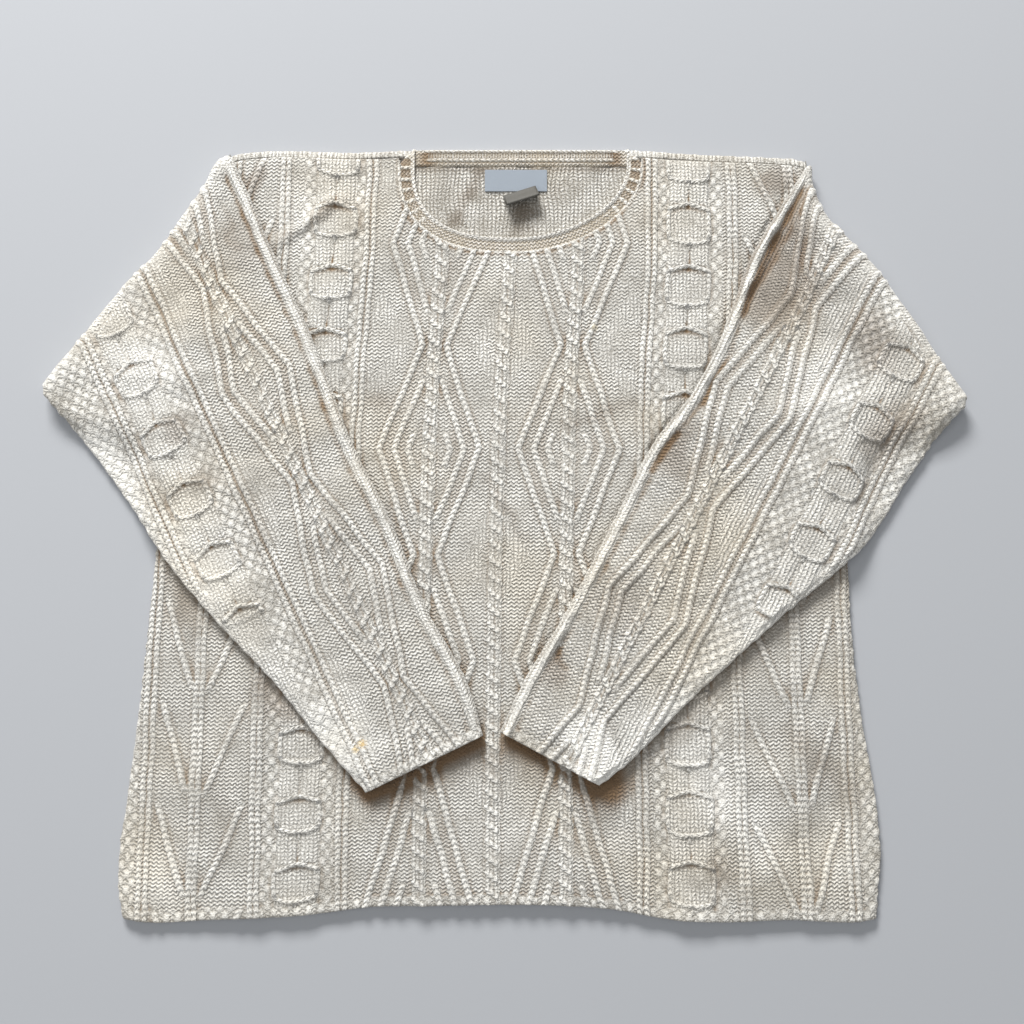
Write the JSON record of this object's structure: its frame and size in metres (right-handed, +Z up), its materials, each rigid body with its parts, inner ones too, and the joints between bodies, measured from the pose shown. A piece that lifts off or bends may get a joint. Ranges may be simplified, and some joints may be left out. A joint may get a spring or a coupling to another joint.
{
  "type": "cable knit sweater",
  "caption": "Cable knit pullover laid flat on its back, both sleeves folded over the front, with a deep round ribbed neck.",
  "frame": {"origin": "middle of the sweater's box, on the surface that it lies on", "axes": "+X from elbow to elbow, to the viewer's right; +Y from the hem to the neck; +Z up, out of the front of the sweater"},
  "size_m": [0.7893, 0.657, 0.018],
  "materials": {
    "body_wool": "ivory wool, cable knit",
    "neckband_wool": "ivory wool, rib knit",
    "label_ribbon": "white woven ribbon, bare",
    "tag_ribbon": "beige woven ribbon, bare"
  },
  "bodies": {
    "root": {"back": "body_wool", "front": "body_wool", "sleeve_left": "body_wool", "sleeve_right": "body_wool", "neckband": "neckband_wool", "label": "label_ribbon", "size_tag": "tag_ribbon"}
  },
  "joints": []
}
